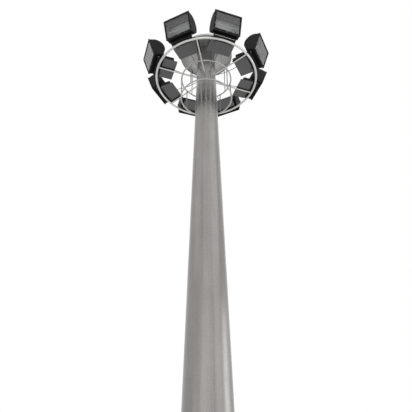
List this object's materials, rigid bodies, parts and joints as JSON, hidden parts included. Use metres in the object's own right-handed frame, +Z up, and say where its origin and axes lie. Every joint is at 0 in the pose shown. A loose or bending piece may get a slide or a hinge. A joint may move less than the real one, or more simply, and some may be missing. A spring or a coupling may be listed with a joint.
{
  "type": "high mast floodlight tower",
  "caption": "Tapered round steel mast on a bolted flange, with a spoked ring of tilting floodlights, gear boxes, two inner hoops and a shallow canopy.",
  "frame": {"origin": "centre of the underside of the base flange, on the foundation", "axes": "+Z up the mast; -Y is the front, the side that the service door is away from; +X to the right seen from the front"},
  "size_m": [3.1604, 3.1604, 12.095],
  "materials": {
    "galvanised_steel": "smooth hot-dip galvanised steel",
    "canopy_sheet": "light grey painted sheet",
    "black_paint": "black satin paint",
    "housing_paint": "dark grey satin powder coat",
    "tray_paint": "mid grey powder coat",
    "lamp_glass": "toughened clear glass",
    "reflector_sheet": "anodised aluminium sheet"
  },
  "bodies": {
    "mast": {"shaft": "galvanised_steel", "base_flange": "galvanised_steel", "base_gussets": "galvanised_steel", "door_frame": "galvanised_steel", "service_door": "galvanised_steel", "earth_boss": "galvanised_steel", "outer_ring": "galvanised_steel", "ring_spokes": "galvanised_steel", "upper_hoop": "galvanised_steel", "lower_hoop": "galvanised_steel", "hoop_posts": "galvanised_steel", "canopy_struts": "galvanised_steel", "head_cap": "galvanised_steel", "canopy": "canopy_sheet", "stirrups": "black_paint", "gear_trays": "tray_paint", "gear_boxes": "black_paint", "tray_bearers": "black_paint", "tray_brackets": "black_paint", "supply_conduits": "galvanised_steel"},
    "floodlight_1": {"housing_1": "housing_paint", "bezel_1": "black_paint", "glass_1": "lamp_glass", "reflector_1": "reflector_sheet"},
    "floodlight_2": {"housing_2": "housing_paint", "bezel_2": "black_paint", "glass_2": "lamp_glass", "reflector_2": "reflector_sheet"},
    "floodlight_3": {"housing_3": "housing_paint", "bezel_3": "black_paint", "glass_3": "lamp_glass", "reflector_3": "reflector_sheet"},
    "floodlight_4": {"housing_4": "housing_paint", "bezel_4": "black_paint", "glass_4": "lamp_glass", "reflector_4": "reflector_sheet"},
    "floodlight_5": {"housing_5": "housing_paint", "bezel_5": "black_paint", "glass_5": "lamp_glass", "reflector_5": "reflector_sheet"},
    "floodlight_6": {"housing_6": "housing_paint", "bezel_6": "black_paint", "glass_6": "lamp_glass", "reflector_6": "reflector_sheet"},
    "floodlight_7": {"housing_7": "housing_paint", "bezel_7": "black_paint", "glass_7": "lamp_glass", "reflector_7": "reflector_sheet"},
    "floodlight_8": {"housing_8": "housing_paint", "bezel_8": "black_paint", "glass_8": "lamp_glass", "reflector_8": "reflector_sheet"}
  },
  "joints": [
    {"name": "floodlight_1_tilt", "type": "hinge", "parent": "mast", "child": "floodlight_1", "pos_m": [0.4193, -1.20408, 11.075], "axis": [0.9444, 0.3289, 0], "range_deg": [-20, 40]},
    {"name": "floodlight_2_tilt", "type": "hinge", "parent": "mast", "child": "floodlight_2", "pos_m": [1.14791, -0.55492, 11.075], "axis": [0.4352, 0.9003, 0], "range_deg": [-20, 40]},
    {"name": "floodlight_3_tilt", "type": "hinge", "parent": "mast", "child": "floodlight_3", "pos_m": [1.20408, 0.4193, 11.075], "axis": [-0.3289, 0.9444, 0], "range_deg": [-20, 40]},
    {"name": "floodlight_4_tilt", "type": "hinge", "parent": "mast", "child": "floodlight_4", "pos_m": [0.55492, 1.14791, 11.075], "axis": [-0.9003, 0.4352, 0], "range_deg": [-20, 40]},
    {"name": "floodlight_5_tilt", "type": "hinge", "parent": "mast", "child": "floodlight_5", "pos_m": [-0.4193, 1.20408, 11.075], "axis": [-0.9444, -0.3289, 0], "range_deg": [-20, 40]},
    {"name": "floodlight_6_tilt", "type": "hinge", "parent": "mast", "child": "floodlight_6", "pos_m": [-1.14791, 0.55492, 11.075], "axis": [-0.4352, -0.9003, 0], "range_deg": [-20, 40]},
    {"name": "floodlight_7_tilt", "type": "hinge", "parent": "mast", "child": "floodlight_7", "pos_m": [-1.20408, -0.4193, 11.075], "axis": [0.3289, -0.9444, 0], "range_deg": [-20, 40]},
    {"name": "floodlight_8_tilt", "type": "hinge", "parent": "mast", "child": "floodlight_8", "pos_m": [-0.55492, -1.14791, 11.075], "axis": [0.9003, -0.4352, 0], "range_deg": [-20, 40]}
  ]
}
